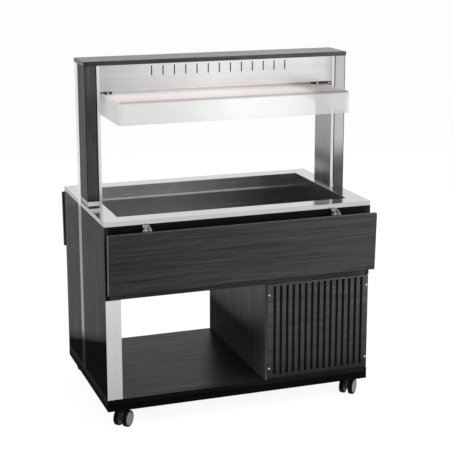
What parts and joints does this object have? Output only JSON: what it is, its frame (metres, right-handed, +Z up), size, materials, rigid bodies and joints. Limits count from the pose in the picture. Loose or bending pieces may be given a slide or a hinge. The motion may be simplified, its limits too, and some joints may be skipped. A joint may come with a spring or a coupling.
{
  "type": "mobile salad bar",
  "caption": "Chilled salad bar on swivel casters: steel well in a dark laminate cabinet with open storage and a grille, fold-down tray flaps, lit hood and clear breath guard.",
  "frame": {"origin": "on the floor under the middle of the body", "axes": "+Z up, -Y towards the front with the left-hand storage bay, +X to the right seen from the front"},
  "size_m": [1.164, 0.8602, 1.476],
  "materials": {
    "laminate": "dark grey wood-grain laminate, satin",
    "black_laminate": "black laminate, satin",
    "board_laminate": "dark laminate, semi-gloss",
    "stainless": "brushed stainless steel",
    "well_steel": "smooth rolled stainless steel",
    "acrylic": "clear acrylic",
    "foam": "matte insulating foam",
    "black_paint": "black paint",
    "black_plastic": "black moulded plastic",
    "aluminium": "satin",
    "copper": "drawn copper tube",
    "brass": "satin brass",
    "lamp_glow": "lit frosted tube, warm light",
    "caster_plastic": "black moulded nylon",
    "tyre_rubber": "black tread, grey hub disc"
  },
  "bodies": {
    "cabinet": {"base_frame": "black_laminate", "base_board": "laminate", "left_front_cladding": "laminate", "left_rear_cladding": "laminate", "right_front_cladding": "laminate", "right_rear_cladding": "laminate", "front_apron": "laminate", "rear_apron": "laminate", "left_inner_wall": "laminate", "left_front_trim": "stainless", "left_rear_trim": "stainless", "divider_wall": "laminate", "front_grille": "laminate", "rear_grille": "laminate", "well_casing": "stainless", "well_liner": "well_steel", "insulation": "foam", "worktop": "stainless", "left_column": "stainless", "left_upright_frame": "stainless", "left_cover": "laminate", "right_column": "stainless", "right_upright_frame": "stainless", "right_cover": "stainless", "top_board": "board_laminate", "front_fascia": "stainless", "rear_fascia": "stainless", "lamp_housing": "aluminium", "lamp_tube": "lamp_glow", "breath_guard": "acrylic", "front_left_bracket": "stainless", "front_right_bracket": "stainless", "rear_left_bracket": "stainless", "rear_right_bracket": "stainless", "compressor": "black_paint", "condenser": "aluminium", "fan_shroud": "black_paint", "evaporator_plate": "aluminium", "suction_line": "copper", "drain_pipe": "stainless", "control_panel": "black_plastic"},
    "front_tray_flap": {"front_flap": "laminate", "front_left_arm": "stainless", "front_right_arm": "stainless"},
    "rear_tray_flap": {"rear_flap": "laminate", "rear_left_arm": "stainless", "rear_right_arm": "stainless"},
    "front_left_swivel": {"caster_front_left": "caster_plastic"},
    "front_left_wheels": {"wheels_front_left": "tyre_rubber"},
    "rear_left_swivel": {"caster_rear_left": "caster_plastic"},
    "rear_left_wheels": {"wheels_rear_left": "tyre_rubber"},
    "front_right_swivel": {"caster_front_right": "caster_plastic"},
    "front_right_wheels": {"wheels_front_right": "tyre_rubber"},
    "rear_right_swivel": {"caster_rear_right": "caster_plastic"},
    "rear_right_wheels": {"wheels_rear_right": "tyre_rubber"},
    "power_switch": {"power_switch": "black_plastic"},
    "lamp_switch": {"lamp_switch": "black_plastic"},
    "thermostat_knob": {"thermostat_knob": "black_plastic"},
    "drain_lever": {"drain_lever": "brass"},
    "condenser_fan": {"condenser_fan": "black_plastic"}
  },
  "joints": [
    {"name": "front_flap_hinge", "type": "hinge", "parent": "cabinet", "child": "front_tray_flap", "pos_m": [0, -0.39, 0.831], "axis": [-1, 0, 0], "range_deg": [0, 92.5]},
    {"name": "rear_flap_hinge", "type": "hinge", "parent": "cabinet", "child": "rear_tray_flap", "pos_m": [0, 0.39, 0.831], "axis": [1, 0, 0], "range_deg": [0, 92.5]},
    {"name": "front_left_caster_swivel", "type": "hinge", "parent": "cabinet", "child": "front_left_swivel", "pos_m": [-0.503, -0.333, 0.0747], "axis": [0, 0, 1], "continuous": true},
    {"name": "front_left_wheel_spin", "type": "hinge", "parent": "front_left_swivel", "child": "front_left_wheels", "pos_m": [-0.51064, -0.34091, 0.035], "axis": [0.7193, -0.6947, 0], "continuous": true},
    {"name": "rear_left_caster_swivel", "type": "hinge", "parent": "cabinet", "child": "rear_left_swivel", "pos_m": [-0.503, 0.333, 0.0747], "axis": [0, 0, 1], "continuous": true},
    {"name": "rear_left_wheel_spin", "type": "hinge", "parent": "rear_left_swivel", "child": "rear_left_wheels", "pos_m": [-0.51064, 0.32509, 0.035], "axis": [0.7193, -0.6947, 0], "continuous": true},
    {"name": "front_right_caster_swivel", "type": "hinge", "parent": "cabinet", "child": "front_right_swivel", "pos_m": [0.503, -0.333, 0.0747], "axis": [0, 0, 1], "continuous": true},
    {"name": "front_right_wheel_spin", "type": "hinge", "parent": "front_right_swivel", "child": "front_right_wheels", "pos_m": [0.51064, -0.32509, 0.035], "axis": [0.7193, -0.6947, 0], "continuous": true},
    {"name": "rear_right_caster_swivel", "type": "hinge", "parent": "cabinet", "child": "rear_right_swivel", "pos_m": [0.503, 0.333, 0.0747], "axis": [0, 0, 1], "continuous": true},
    {"name": "rear_right_wheel_spin", "type": "hinge", "parent": "rear_right_swivel", "child": "rear_right_wheels", "pos_m": [0.51064, 0.34091, 0.035], "axis": [0.7193, -0.6947, 0], "continuous": true},
    {"name": "power_switch_rock", "type": "hinge", "parent": "cabinet", "child": "power_switch", "pos_m": [0.309, 0.3633, 0.487], "axis": [-1, 0, 0], "range_deg": [0, 16]},
    {"name": "lamp_switch_rock", "type": "hinge", "parent": "cabinet", "child": "lamp_switch", "pos_m": [0.343, 0.3633, 0.487], "axis": [-1, 0, 0], "range_deg": [0, 16]},
    {"name": "thermostat_turn", "type": "hinge", "parent": "cabinet", "child": "thermostat_knob", "pos_m": [0.407, 0.375, 0.487], "axis": [0, -1, 0], "range_deg": [0, 280]},
    {"name": "drain_lever_turn", "type": "hinge", "parent": "cabinet", "child": "drain_lever", "pos_m": [0.24, 0.035, 0.321], "axis": [0, 1, 0], "range_deg": [0, 90]},
    {"name": "fan_spin", "type": "hinge", "parent": "cabinet", "child": "condenser_fan", "pos_m": [0.31, -0.26, 0.2623], "axis": [0, 1, 0], "continuous": true}
  ]
}
